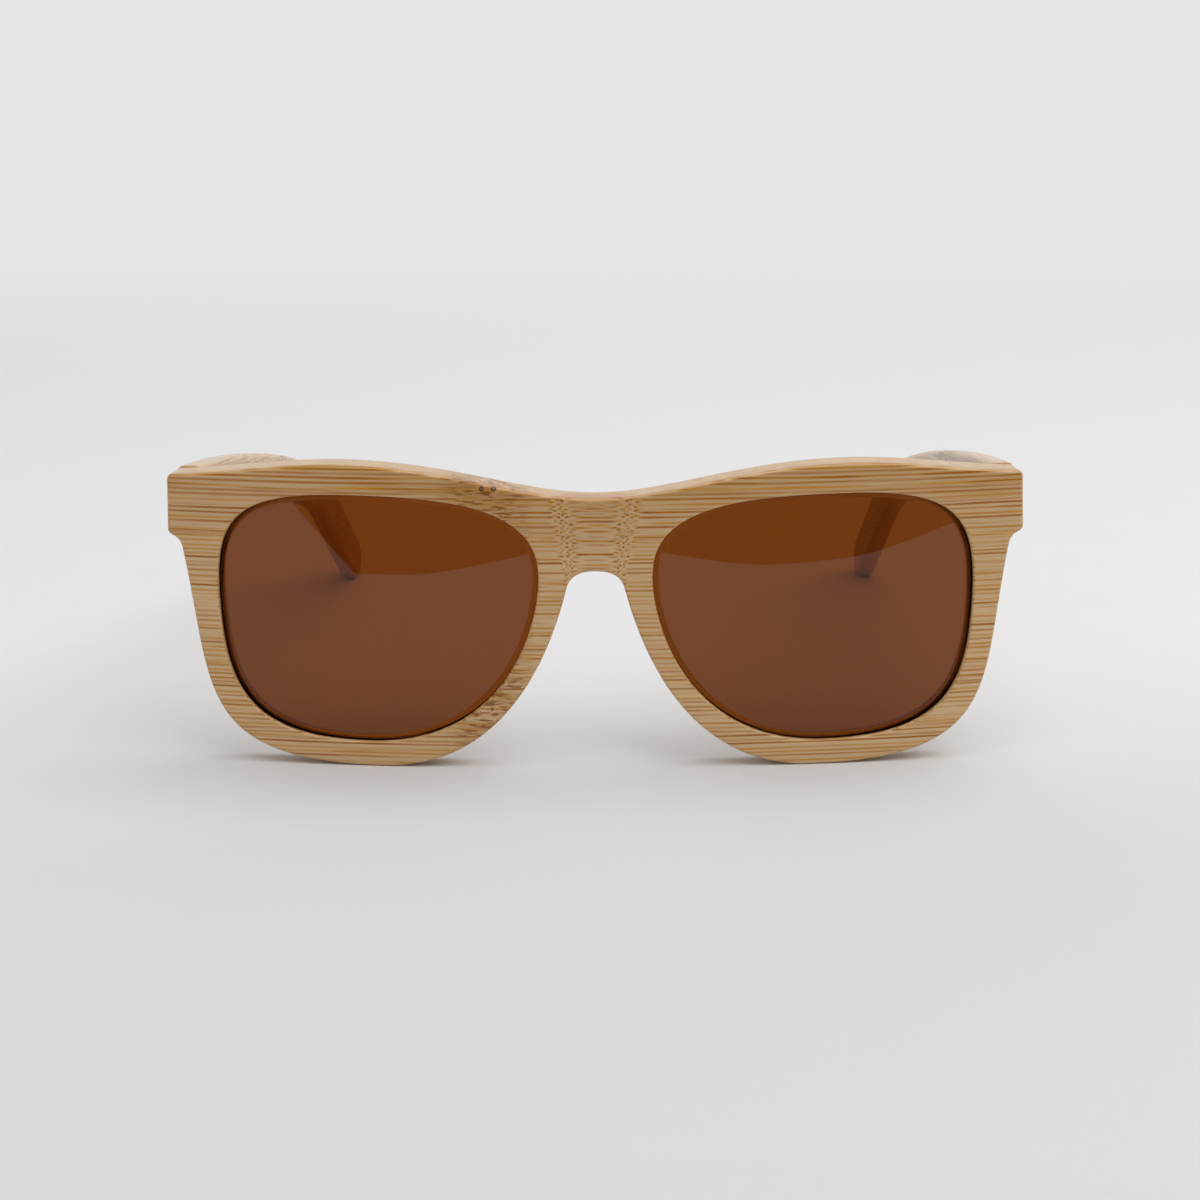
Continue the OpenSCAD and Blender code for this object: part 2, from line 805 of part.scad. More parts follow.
// Middle knuckle, its shoulder against the box, and the rod through the spring
module hinge_slider_right() {
    color("silver")
        at_axis()
            difference() {
                union() {
                    translate([0, 0, -slider_knuckle_h / 2])
                        cylinder(r = knuckle_r, h = slider_knuckle_h);
                    along_y(0, box_y - run_fit, neck_r);
                    along_y(0, stop_y + stop_t, rod_r);
                }
                cylinder(r = hinge_screw_r + run_fit, h = 2 * knuckle_stack, center = true);
            }
}

module hinge_slider_left() {
    on_left() hinge_slider_right();
}

module spring_stop_right() {
    color("goldenrod")
        at_axis()
            difference() {
                along_y(stop_y, stop_y + stop_t, bore_r - run_fit);
                along_y(stop_y - cut, stop_y + stop_t + cut, rod_r + touch);
            }
}

module spring_stop_left() {
    on_left() spring_stop_right();
}

module hinge_spring_right() {
    color("dimgray")
        at_axis()
            polyhedron(coil_points, tube_faces(coil_rings + 1, wire_sides));
}

module hinge_spring_left() {
    on_left() hinge_spring_right();
}

// Box open towards the temple, so that slider, spring and stop drop in from that side
module spring_box_right() {
    color("silver")
        at_axis()
            difference() {
                union() {
                    translate([0, box_end, 0])
                        rotate([90, 0, 0])
                            linear_extrude(box_end - box_y)
                                polygon([
                                    [box_out, -box_h / 2],
                                    [box_out, box_h / 2],
                                    [box_chamfer - box_in, box_h / 2],
                                    [-box_in, box_h / 2 - box_chamfer],
                                    [-box_in, box_chamfer - box_h / 2],
                                    [box_chamfer - box_in, -box_h / 2]
                                ]);
                    translate([box_out - tail_t, box_end - cut, -box_h / 2])
                        cube([tail_t, tail_l + cut, box_h]);
                }
                along_y(spring_y, bore_end, bore_r);
                translate([0, spring_y, -bore_r])
                    cube([box_out + cut, bore_end - spring_y, 2 * bore_r]);
                along_y(box_y - cut, spring_y + cut, rod_r + run_fit);
                translate([0, box_y - cut, -rod_r - run_fit])
                    cube([box_out + cut, box_front + 2 * cut, 2 * (rod_r + run_fit)]);
                tail_screw_places() {
                    along_x(0, box_out + cut, wood_screw_r + touch);
                    along_x(0, box_out - tail_t + head_h, wood_head_r + touch);
                }
            }
}

module spring_box_left() {
    on_left() spring_box_right();
}

module box_screws_right() {
    color("gainsboro")
        at_axis()
            tail_screw_places() {
                along_x(box_out - tail_t + head_h, box_out + wood_screw_l, wood_screw_r);
                translate([box_out - tail_t + head_h, 0, 0])
                    rotate([0, -90, 0])
                        slotted_head(wood_head_r, head_h);
            }
}

module box_screws_left() {
    on_left() box_screws_right();
}

front_frame();
lens_left();
lens_right();
temple_left();
temple_right();
front_leaf_left();
front_leaf_right();
leaf_screws_left();
leaf_screws_right();
hinge_screw_left();
hinge_screw_right();
hinge_slider_left();
hinge_slider_right();
spring_stop_left();
spring_stop_right();
hinge_spring_left();
hinge_spring_right();
spring_box_left();
spring_box_right();
box_screws_left();
box_screws_right();
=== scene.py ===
import json

import bpy
import numpy as np
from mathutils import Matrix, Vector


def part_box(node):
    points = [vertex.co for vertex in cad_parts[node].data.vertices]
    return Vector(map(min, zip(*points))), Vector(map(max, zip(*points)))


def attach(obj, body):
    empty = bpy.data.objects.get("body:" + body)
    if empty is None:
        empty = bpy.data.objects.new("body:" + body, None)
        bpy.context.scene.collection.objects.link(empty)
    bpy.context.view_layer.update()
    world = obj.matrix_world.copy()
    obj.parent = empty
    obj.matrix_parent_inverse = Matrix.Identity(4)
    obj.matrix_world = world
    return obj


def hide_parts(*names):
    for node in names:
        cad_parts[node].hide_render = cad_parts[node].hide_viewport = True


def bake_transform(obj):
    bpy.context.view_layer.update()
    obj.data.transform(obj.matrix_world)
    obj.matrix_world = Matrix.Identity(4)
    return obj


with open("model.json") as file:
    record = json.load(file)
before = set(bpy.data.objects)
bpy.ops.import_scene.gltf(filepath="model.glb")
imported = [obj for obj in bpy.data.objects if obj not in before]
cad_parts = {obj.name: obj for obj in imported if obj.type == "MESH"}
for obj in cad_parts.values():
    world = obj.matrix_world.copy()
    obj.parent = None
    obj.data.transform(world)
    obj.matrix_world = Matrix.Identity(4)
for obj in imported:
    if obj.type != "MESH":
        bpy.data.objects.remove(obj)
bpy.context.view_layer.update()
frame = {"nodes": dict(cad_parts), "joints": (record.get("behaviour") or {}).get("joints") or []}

# Front: one board of bamboo, sawn to shape and sanded, with both rims, the bridge, the brow
# and the end pieces. A groove inside each rim holds a lens, and the back swells into two nose
# rests. It stands on its rims and leans forward a little.
mm = 0.001
lens_x0, lens_w = 9.6, 54.7
lens_z0, lens_h = 4.5, 44.0
lens_x1, lens_z1 = lens_x0 + lens_w, lens_z0 + lens_h
lens_middle = np.array([lens_x0 + lens_w / 2, lens_z0 + lens_h / 2])
lens_t, lens_set = 1.8, 1.1
# Groove depth and play, and how far painted shade for the gap's shadow reaches in front of it and
# fades
groove_d, groove_play, shade_reach, shade_fade = 0.9, 0.05, 0.3, 0.1
groove_y, groove_half = lens_set + lens_t / 2, lens_t / 2 + groove_play
front_t, edge_r, lip_r = 5.2, 0.6, 0.4
wrap_r, front_lean = 450.0, np.radians(3)
nose_swell, nose_splay, nose_reach, nose_rise = 2.2, 1.2, 5.0, 11.0
brow_z, bridge_z, arch_z = 53.6, 48.2, 35.6
end_x, end_top, end_low, end_r, heel_r = 72.5, 51.3, 41.0, 1.0, 0.7
end_flare = 0.5


def bezier(handles, t):
    """Points on the cubic curve of four handles at the shares t along it, and the way it runs."""
    a, b, c, d = np.asarray(handles, float)[:, None, :]
    t = t[:, None]
    s = 1 - t
    at = s**3 * a + 3 * s * s * t * b + 3 * s * t * t * c + t**3 * d
    run = s * s * (b - a) + 2 * s * t * (c - b) + t * t * (d - c)
    return at, run / np.linalg.norm(run, axis=1, keepdims=True)


def slanted(angle):
    """The way down a line that leans that many degrees to the right of straight down."""
    return np.array([np.sin(np.radians(angle)), -np.cos(np.radians(angle))])


def quarter(start, stop, upright_first, pulls):
    """A quarter of a lens opening: both handles lie on the way to the corner of its box."""
    start, stop = np.array(start), np.array(stop)
    corner = np.array([start[0], stop[1]] if upright_first else [stop[0], start[1]])
    return [start, start + (corner - start) * pulls[0], stop + (corner - stop) * pulls[1], stop]


lens_nose = (lens_x0, lens_z0 + 0.69 * lens_h)
lens_side = (lens_x1, lens_z0 + 0.585 * lens_h)
lens_top = (lens_x0 + 0.61 * lens_w, lens_z1)
lens_foot = (lens_x0 + 0.54 * lens_w, lens_z0)
nose_top = quarter(lens_nose, lens_top, True, (0.88, 0.55))
side_top = quarter(lens_top, lens_side, False, (0.81, 0.74))
side_low = quarter(lens_side, lens_foot, True, (0.65, 0.87))
nose_low = quarter(lens_foot, lens_nose, False, (0.77, 0.33))

across = np.array([1.0, 0.0])
up = np.array([0.0, 1.0])
bridge_top, arch_top = bridge_z * up, arch_z * up
brow_peak = np.array([lens_top[0] + 0.5, brow_z])
end_corner = np.array([end_x - end_flare, end_top])
brow_end = end_corner - (end_r, 0)
heel_corner = np.array([end_x, end_low])
heel = np.array([lens_x1 + 5.9, end_low - 2.5])
rim_foot = np.array([lens_foot[0] - 2, 0])
arch_foot = np.array([4.9, arch_z - 3.1])
under, down_rim, down_arch = slanted(-66), slanted(-8.5), slanted(14)
under_start = heel_corner + heel_r * under
corner_pull = 0.45

bridge_cut = [arch_top + (bridge_top - arch_top) * k / 3 for k in range(4)]
brow_inner = [bridge_top, bridge_top + 12.7 * across, brow_peak - 19 * across, brow_peak]
brow_outer = [brow_peak, brow_peak + 8.6 * across, brow_end + (-8.3, 0.45), brow_end]
end_round = [
    brow_end,
    end_corner - corner_pull * end_r * across,
    end_corner - corner_pull * end_r * up,
    end_corner - end_r * up,
]
edge_top, edge_low = end_corner - end_r * up, heel_corner + heel_r * up
end_edge = [edge_top + (edge_low - edge_top) * k / 3 for k in range(4)]
heel_round = [
    heel_corner + heel_r * up,
    heel_corner + corner_pull * heel_r * up,
    heel_corner + corner_pull * heel_r * under,
    under_start,
]
end_under = [under_start, under_start + 1.3 * under, heel - 0.9 * down_rim, heel]
rim_outer = [heel, heel + 25.3 * down_rim, rim_foot + 34.1 * across, rim_foot]
rim_nose = [rim_foot, rim_foot - 19 * across, arch_foot + 16.4 * down_arch, arch_foot]
nose_arch = [arch_foot, arch_foot - 2.4 * down_arch, arch_top + 2.5 * across, arch_top]

# Each stretch of a rim: outer curve and its part, lens quarter and its part, steps, and whether
# its outer edge is rounded, which it isn't inside the bridge where the two halves meet.
stretches = [
    (bridge_cut, 0.2, 1, nose_top, 0.06, 0.3, 20, 0),
    (brow_inner, 0, 1, nose_top, 0.3, 1, 64, 1),
    (brow_outer, 0, 1, side_top, 0, 0.5, 40, 1),
    (end_round, 0, 1, side_top, 0.5, 0.54, 8, 1),
    (end_edge, 0, 1, side_top, 0.54, 0.7, 12, 1),
    (heel_round, 0, 1, side_top, 0.7, 0.74, 8, 1),
    (end_under, 0, 1, side_top, 0.74, 0.85, 16, 1),
    (rim_outer, 0, 0.1, side_top, 0.85, 1, 12, 1),
    (rim_outer, 0.1, 1, side_low, 0, 1, 80, 1),
    (rim_nose, 0, 0.5, nose_low, 0, 0.4, 36, 1),
    (rim_nose, 0.5, 1, nose_low, 0.4, 0.9, 36, 1),
    (nose_arch, 0, 1, nose_low, 0.9, 1, 16, 1),
    (nose_arch, 1, 1, nose_low, 1, 1, 1, 1),
]


def stations():
    """Outer and lens points round the right half, and the way into the wood from each of them.

    A curve's run points into the wood when it is turned clockwise on the outside, and when it is
    turned anticlockwise on the lens.
    """
    rows = []
    for outer, o0, o1, lens, l0, l1, steps, soft in stretches:
        share = np.arange(steps) / steps
        out_at, out_run = bezier(outer, o0 + (o1 - o0) * share)
        lens_at, lens_run = bezier(lens, l0 + (l1 - l0) * share)
        out_in = soft * np.column_stack([out_run[:, 1], -out_run[:, 0]])
        lens_in = np.column_stack([-lens_run[:, 1], lens_run[:, 0]])
        rows.append(np.hstack([out_at, lens_at, out_in, lens_in]))
    return np.split(np.vstack(rows), 4, axis=1)


def sag(x):
    """Depth of the wrapped face behind the bridge: a circle of wrap_r seen from above."""
    return wrap_r - np.sqrt(wrap_r**2 - x**2)


def nose_share(p):
    """1 at the middle of a nose rest, falling off as a bell along both directions."""
    x_share = (p[:, 0] - lens_x0) / nose_reach
    z_share = (p[:, 1] - lens_middle[1]) / nose_rise
    return np.exp(-(x_share**2) - z_share**2)


def back_depth(p):
    """Depth of the back: the board's thickness and the swell of the nose rests."""
    return front_t + nose_swell * nose_share(p)


def rim_grid(outer, lens, out_in, lens_in):
    """Section of the board at every station, as rows of (across, depth, up, painted shade).

    From the lens's front lip, a quarter round to the face, over the face, a quarter round to the
    outer wall, back along it, a quarter round to the back, over it and down to the groove.
    Painted shade darkens the groove and the wall in front of it, for the shadow in the gap round
    the lens.
    """
    turn = np.radians(np.linspace(0, 90, 7))
    rows = []
    for a in turn:
        rows.append((lens + lens_in * lip_r * (1 - np.cos(a)), lip_r * (1 - np.sin(a)), 0))
    lip, face = lens + lens_in * lip_r, outer + out_in * edge_r
    for k in np.linspace(0, 1, 14)[1:-1]:
        rows.append((lip + (face - lip) * k, 0, 0))
    for a in turn:
        rows.append((outer + out_in * edge_r * (1 - np.sin(a)), edge_r * (1 - np.cos(a)), 0))
    behind = outer + out_in * (nose_splay * nose_share(outer))[:, None]
    wall = back_depth(behind) - edge_r
    for k in np.linspace(0, 1, 6)[1:-1]:
        rows.append((outer + (behind - outer) * k, edge_r + (wall - edge_r) * k, 0))
    for a in turn:
        p = behind + out_in * edge_r * (1 - np.cos(a))
        rows.append((p, back_depth(p) - edge_r * (1 - np.sin(a)), 0))
    rear = behind + out_in * edge_r
    for k in np.linspace(0, 1, 10)[1:-1]:
        p = rear + (lip - rear) * k
        rows.append((p, back_depth(p), 0))
    for a in turn:
        p = lens + lens_in * lip_r * (1 - np.sin(a))
        rows.append((p, back_depth(p) - lip_r * (1 - np.cos(a)), 0))
    groove_front, groove_back = groove_y - groove_half, groove_y + groove_half
    # Painted shade over the groove and a band of wall in front of it, for the shadow in the gap
    rows.append((lens, groove_back + shade_fade, 0))
    rows.append((lens, groove_back, 1))
    rows.append((lens + lens_in * groove_d, groove_y, 1))
    rows.append((lens, groove_front, 1))
    rows.append((lens, groove_front - shade_reach, 1))
    rows.append((lens, groove_front - shade_reach - shade_fade, 0))
    n = len(lens)
    return np.stack([
        np.column_stack([p[:, 0], np.broadcast_to(y, n), p[:, 1], np.broadcast_to(painted_shade, n)])
        for p, y, painted_shade in rows
    ], 1)


def ring_faces(rings, around, closed_rings):
    """Quads of a grid of rings: each ring closes on itself, and the rings too where asked."""
    i = np.arange(rings if closed_rings else rings - 1)[:, None]
    j = np.arange(around)[None, :]
    i2, j2 = (i + 1) % rings, (j + 1) % around
    corners = [i * around + j, i * around + j2, i2 * around + j2, i2 * around + j]
    return np.stack(corners, -1).reshape(-1, 4)


def capped_faces(rings, around):
    """Quads of a row of rings, and one face over each end."""
    last = (rings - 1) * around
    caps = [list(range(around))[::-1], list(range(last, last + around))]
    return ring_faces(rings, around, False).tolist() + caps


dip_depth, dip_start, dip_low, dip_spread, dip_rise = 2.2, 3, 5.5, 3, 12
bowl_depth = 0.2


def board_grain(points):
    """Where a point of the board lies in the straight bamboo: along, into and across the fibres.

    The face dips through the layers of fibres beside the bridge, over a band that leans inwards,
    as three shares squared less two cubed, and a little in the bridge itself.
    """
    x, y, z = points.T
    dip_end = dip_low + dip_spread * np.clip((z - arch_z) / dip_rise, 0, 1)
    share = np.clip((np.abs(x) - dip_start) / (dip_end - dip_start), 0, 1)
    bowl = bowl_depth * np.clip(np.abs(x) / dip_start, 0, 1) ** 2
    return np.column_stack([x, y + bowl + dip_depth * share * share * (3 - 2 * share), z])


def new_piece(name, points, faces, grain=None, painted_shade=None):
    """A mesh object of points in millimetres, with its place in the fibres as an attribute."""
    mesh = bpy.data.meshes.new(name)
    mesh.from_pydata(points * mm, [], faces if isinstance(faces, list) else faces.tolist())
    if grain is not None:
        attribute = mesh.attributes.new("grain", "FLOAT_VECTOR", "POINT")
        attribute.data.foreach_set("vector", grain.ravel())
    if painted_shade is not None:
        attribute = mesh.attributes.new("painted_shade", "FLOAT", "POINT")
        attribute.data.foreach_set("value", painted_shade.ravel())
    piece = bpy.data.objects.new(name, mesh)
    bpy.context.scene.collection.objects.link(piece)
    return piece


def piece_on(side, name, points, faces, grain=None, painted_shade=None):
    """A piece drawn for the right, or turned over to the left with its faces still outward."""
    faces = [face[::side] for face in faces]
    return new_piece(name, points * (side, 1, 1), faces, grain, painted_shade)


def cut_and_smooth(piece, *cutters, crease=38):
    """Takes the cutters out of the piece, deletes them, and smooths all but sharper edges."""
    for cutter in cutters:
        cut = piece.modifiers.new("cut", "BOOLEAN")
        cut.operation, cut.solver, cut.object = "DIFFERENCE", "MANIFOLD", cutter
    whole = piece.data
    cut_piece = piece.evaluated_get(bpy.context.evaluated_depsgraph_get())
    piece.data = bpy.data.meshes.new_from_object(cut_piece)
    piece.modifiers.clear()
    bpy.data.meshes.remove(whole)
    piece.data.name = piece.name
    piece.data.materials.clear()
    for cutter in cutters:
        bpy.data.meshes.remove(cutter.data)
    piece.data.shade_smooth()
    piece.data.set_sharp_from_angle(angle=np.radians(crease))


def box_faces():
    """The six outward quads of a box whose corners count x fastest, then y, then z."""
    return [[0, 2, 3, 1], [4, 5, 7, 6], [0, 1, 5, 4], [2, 6, 7, 3], [0, 4, 6, 2], [1, 3, 7, 5]]


def box_corners(low, high):
    """The eight corners of a box between two opposite ones."""
    pick = np.array([[k & 1, k >> 1 & 1, k >> 2 & 1] for k in range(8)])
    return np.where(pick, high, low)


# The right half is mirrored, and both halves share their points at the cut through the bridge,
# where no faces are left
outer_at, lens_at, outer_in, lens_in = stations()
board = rim_grid(outer_at, lens_at, outer_in, lens_in)
station_count, section_count = board.shape[:2]
half = board.reshape(-1, 4)
half_faces = ring_faces(station_count, section_count, True)[:, ::-1]
at_cut = half[:, 0] < 1e-6
half_faces = half_faces[~np.all(at_cut[half_faces], axis=1)]
both_halves = np.vstack([half, half * (-1, 1, 1, 1)])
board_faces = np.vstack([half_faces, half_faces[:, ::-1] + len(half)])
used, merged = np.unique(both_halves.round(7), axis=0, return_inverse=True)
board_faces = merged.reshape(-1)[board_faces]
# The fourth column is painted shade for the shadow in the groove
used, painted_shade = used[:, :3], used[:, 3]

lean = np.array([
    [1, 0, 0],
    [0, np.cos(front_lean), -np.sin(front_lean)],
    [0, np.sin(front_lean), np.cos(front_lean)],
])


def wrapped(points):
    """The flat board bent to the wrap, with depth square to the curve, and leaning forward."""
    x, y, z = points.T
    turn = np.arcsin(x / wrap_r)
    return np.column_stack([x - y * np.sin(turn), sag(x) + y * np.cos(turn), z]) @ lean.T


front_place = np.array(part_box("front_frame")[0]) / mm - wrapped(used).min(0)
front = new_piece("front", wrapped(used) + front_place, board_faces, board_grain(used), painted_shade)

# Recess for each hinge leaf in the back of an end piece, square to the wrapped back there
temple_t, axis_inset = 4.5, 0.6
leaf_reach, leaf_t, leaf_half_h, knuckle_r = 5.2, 1.0, 2.9, 1.5
cut_room, cutter_out = 0.02, 1
back_r = wrap_r - front_t
axis_x = (end_x - end_flare / 2) * back_r / wrap_r - temple_t - axis_inset
seat_turn = np.arcsin(axis_x / back_r)
seat_at = np.array([axis_x, wrap_r - back_r * np.cos(seat_turn), (end_top + end_low) / 2])
seat_axes = np.array([
    [np.cos(seat_turn), -np.sin(seat_turn), 0],
    [np.sin(seat_turn), np.cos(seat_turn), 0],
    [0, 0, 1],
])
recess = box_corners(
    (-leaf_reach - cut_room, -leaf_t - cut_room, -leaf_half_h - cut_room),
    (knuckle_r + cut_room, cutter_out, leaf_half_h + cut_room),
) @ seat_axes.T + seat_at
recess_grain = recess - (0, seat_at[1] - front_t, 0)
recess_place = recess @ lean.T + front_place
hands = {"left": -1, "right": 1}
cut_and_smooth(front, *[
    piece_on(side, f"recess_{hand}", recess_place, box_faces(), recess_grain * (side, 1, 1))
    for hand, side in hands.items()
])


class Net:
    """The nodes of one tree. Inputs are plain values, or sockets of other nodes to link."""

    def __init__(self, tree):
        self.tree = tree

    def feed(self, socket, value):
        """Links a socket to another one, or sets it to a plain value."""
        if isinstance(value, bpy.types.NodeSocket):
            self.tree.links.new(value, socket)
        else:
            socket.default_value = value

    def add(self, kind, inputs=None, **settings):
        """A new node with its settings and inputs."""
        node = self.tree.nodes.new(kind)
        for name, value in settings.items():
            setattr(node, name, value)
        for name, value in (inputs or {}).items():
            self.feed(node.inputs[name], value)
        return node

    def maths(self, operation, *values):
        """The result of a Math node."""
        return self.add("ShaderNodeMath", dict(enumerate(values)), operation=operation).outputs[0]

    def ramp(self, value, start, stop, low=0.0, high=1.0):
        """value carried smoothly from low at start to high at stop."""
        ends = {"From Min": start, "From Max": stop, "To Min": low, "To Max": high}
        inputs = {"Value": value, **ends}
        node = self.add("ShaderNodeMapRange", inputs, interpolation_type="SMOOTHSTEP")
        return node.outputs["Result"]

    def mixed(self, factor, a, b):
        """Colour a carried towards colour b by a factor."""
        return self.add("ShaderNodeMix", {0: factor, 6: a, 7: b}, data_type="RGBA").outputs[2]

    def noise(self, place, scale, detail):
        """Noise that is as fine in every direction."""
        inputs = {"Vector": place, "Scale": scale, "Detail": detail}
        return self.add("ShaderNodeTexNoise", inputs).outputs["Fac"]

    def lumps(self, place, sizes, seed, detail=2.0):
        """Noise whose lumps have those sizes along the three ways of a place."""
        shares = {k: self.maths("DIVIDE", place[k], sizes[k]) for k in range(3)}
        scaled = self.add("ShaderNodeCombineXYZ", shares).outputs[0]
        inputs = {"Vector": scaled, "W": seed, "Scale": 1.0, "Detail": detail}
        return self.add("ShaderNodeTexNoise", inputs, noise_dimensions="4D").outputs["Fac"]

    def attribute(self, name):
        """The outputs of the node that reads a mesh attribute."""
        node = self.add("ShaderNodeAttribute", attribute_name=name, attribute_type="GEOMETRY")
        return node.outputs

    def bump(self, height, strength, distance):
        """The normal of a surface with those heights."""
        inputs = {"Height": height, "Strength": strength, "Distance": distance}
        return self.add("ShaderNodeBump", inputs).outputs["Normal"]


def new_group(name, inputs, outputs):
    """The net of an empty shader node group with named sockets, its inputs and its outputs."""
    tree = bpy.data.node_groups.new(name, "ShaderNodeTree")
    for way, sockets in (("INPUT", inputs), ("OUTPUT", outputs)):
        for label, kind in sockets.items():
            tree.interface.new_socket(label, in_out=way, socket_type=f"NodeSocket{kind}")
    given = tree.nodes.new("NodeGroupInput").outputs
    return Net(tree), given, tree.nodes.new("NodeGroupOutput").inputs


def new_material(name):
    """A material without nodes but for its output, its net, and the socket for its shader."""
    material = bpy.data.materials.new(name)
    material.use_nodes = True
    material.node_tree.nodes.clear()
    output = material.node_tree.nodes.new("ShaderNodeOutputMaterial")
    return material, Net(material.node_tree), output.inputs["Surface"]


straw = (0.68, 0.465, 0.24, 1)
fibre_gold = (0.54, 0.24, 0.010, 1)
fibre_orange = (0.42, 0.155, 0.004, 1)
fibre_brown = (0.27, 0.085, 0.003, 1)
node_brown = (0.36, 0.16, 0.030, 1)
speck_brown = (0.11, 0.036, 0.008, 1)
# Painted shade for the shadowed gap round each lens
painted_shade_brown = (0.018, 0.009, 0.005, 1)

# Bamboo seen as a solid: staggered bundles of dark fibre run along the cane, so a face along them
# shows streaks and a face across them shows dots. Near a node of the cane they swirl and darken,
# and near its skin, at the top of the front's face, they lie closer and are stronger.
net, given, result = new_group(
    "bamboo_grain",
    {"Grain": "Vector", "Node": "Float", "Seed": "Float", "Streaks": "Float"},
    {"Color": "Color", "Roughness": "Float", "Height": "Float"},
)
bamboo_group = net.tree
along, into, over = net.add("ShaderNodeSeparateXYZ", {"Vector": given["Grain"]}).outputs
place, seed = (along, into, over), given["Seed"]
node_reach, node_core = 9.0, 2.5
past_node = net.maths("SUBTRACT", along, given["Node"])
near_node = net.ramp(net.maths("ABSOLUTE", past_node), node_reach, node_core)

# Bundles stand in a lattice of slanted squares, and wander a little along the cane
bundle_step, bundle_sway, node_sway = 0.80, 0.8, 2.6
wander = net.lumps(place, (26, 3, 3), seed)
drift = net.lumps(place, (40, 4, 4), net.maths("ADD", seed, 7.0))
swirl = net.lumps(place, (5, 1.6, 1.6), net.maths("ADD", seed, 3.0))
swirl_in = net.maths(
    "MULTIPLY", net.maths("SUBTRACT", swirl, 0.5), net.maths("MULTIPLY", near_node, node_sway)
)
shift_in = net.maths("ADD", net.maths("SUBTRACT", wander, 0.5), swirl_in)
bundle_in = net.maths("ADD", into, shift_in)
bundle_up = net.maths("MULTIPLY_ADD", net.maths("SUBTRACT", drift, 0.5), bundle_sway, over)
bundle_place = (along, bundle_in, bundle_up)
lattice = net.add("ShaderNodeCombineXYZ", {
    "X": net.maths("DIVIDE", net.maths("ADD", bundle_up, bundle_in), bundle_step),
    "Y": net.maths("DIVIDE", net.maths("SUBTRACT", bundle_up, bundle_in), bundle_step),
}).outputs[0]
bundles = net.add(
    "ShaderNodeTexVoronoi", {"Vector": lattice, "Scale": 1.0, "Randomness": 0.5},
    voronoi_dimensions="2D",
).outputs
from_bundle = bundles["Distance"]
tones = net.add("ShaderNodeSeparateColor", {"Color": bundles["Color"]}).outputs

# Behind the face the bundles thin out, and each one fades in and out along its length
thin_start, thin_end, thin_loss, skin_drop = 2.6, 4.6, 0.5, 18.0
skin_low, skin_high, bundle_r, skin_bundle_r, bundle_core_r = 30.0, 50.0, 0.50, 0.64, 0.22
thinned = net.ramp(into, thin_start, thin_end)
kept = net.maths("MULTIPLY_ADD", thinned, -thin_loss, 1.0)
skin = net.maths("MULTIPLY_ADD", thinned, -skin_drop, over)
# Where the flesh darkens towards the skin: denser flesh there, and painted shade at the top
near_skin_and_shade = net.ramp(skin, skin_low, skin_high)
bundle_reach = net.ramp(skin, 44.0, 49.5, bundle_r, skin_bundle_r)
bundle = net.ramp(from_bundle, bundle_reach, bundle_core_r)
fade = net.lumps(bundle_place, (13, 0.5, 0.5), net.maths("ADD", seed, 5.0))
shown = net.maths(
    "MULTIPLY", net.ramp(fade, 0.36, 0.52, 0.55, 1.0),
    net.maths("MULTIPLY", kept, given["Streaks"]),
)
strength = net.maths("MULTIPLY", net.ramp(tones["Red"], 0, 1, 0.65, 1.0), shown)
bundle_dark = net.maths("MULTIPLY", bundle, strength)
core_strength = net.maths("MULTIPLY", net.ramp(tones["Red"], 0.2, 1, 0.1, 0.9), shown)
bundle_core = net.maths("MULTIPLY", net.ramp(from_bundle, 0.30, 0.06), core_strength)

# Pale flesh between the bundles, darker towards the skin, partly as painted shade on the upper
# front where less light comes up from the table, and in patches at the node
fine = net.lumps(place, (9, 0.16, 0.16), seed)
broad = net.lumps(place, (60, 5, 5), seed)
node_dark = net.maths("MULTIPLY", near_node, net.ramp(swirl, 0.35, 0.65, 0.1, 0.6))
flesh = net.mixed(net.ramp(fine, 0.35, 0.75, 0.0, 0.28), straw, fibre_orange)
flesh = net.mixed(net.ramp(broad, 0.35, 0.7, 0.0, 0.14), flesh, node_brown)
# Darker near the skin: denser flesh there, and painted shade at the top of the front
flesh = net.mixed(net.maths("MULTIPLY", near_skin_and_shade, 0.2), flesh, node_brown)
flesh = net.mixed(node_dark, flesh, node_brown)
knots = net.lumps(bundle_place, (2.4, 0.6, 0.45), seed, 1.0)
knot = net.maths("MULTIPLY", near_node, net.ramp(knots, 0.5, 0.62))
fibre = net.mixed(net.ramp(tones["Green"], 0.3, 0.7), fibre_gold, fibre_orange)
streaked = net.mixed(bundle_dark, flesh, fibre)
streaked = net.mixed(net.maths("MAXIMUM", bundle_core, knot), streaked, fibre_brown)

# Ringed specks near the face at the node, each past it, at a height and of a radius
specks = [
    (-0.7, 50.0, 0.50),
    (1.3, 50.0, 0.54),
    (-0.3, 47.9, 0.28),
    (0.1, 11.0, 0.36),
    (1.0, 9.0, 0.30),
]
speck_edge, speck_hole, speck_wall = 0.18, 0.05, 0.25
speck_place = net.add("ShaderNodeCombineXYZ", {"X": past_node, "Y": over}).outputs[0]
speck = 0.0
for speck_past, speck_height, speck_r in specks:
    middle = (speck_past, speck_height, 0)
    away = net.add(
        "ShaderNodeVectorMath", {0: speck_place, 1: middle}, operation="DISTANCE"
    ).outputs["Value"]
    disc = net.ramp(away, speck_r, speck_r - speck_edge)
    hollow = net.ramp(away, speck_hole, speck_r - speck_wall, 0.3, 1.0)
    speck = net.maths("MAXIMUM", speck, net.maths("MULTIPLY", disc, hollow))
speck = net.maths("MULTIPLY", speck, net.ramp(into, 3.1, 2.7))

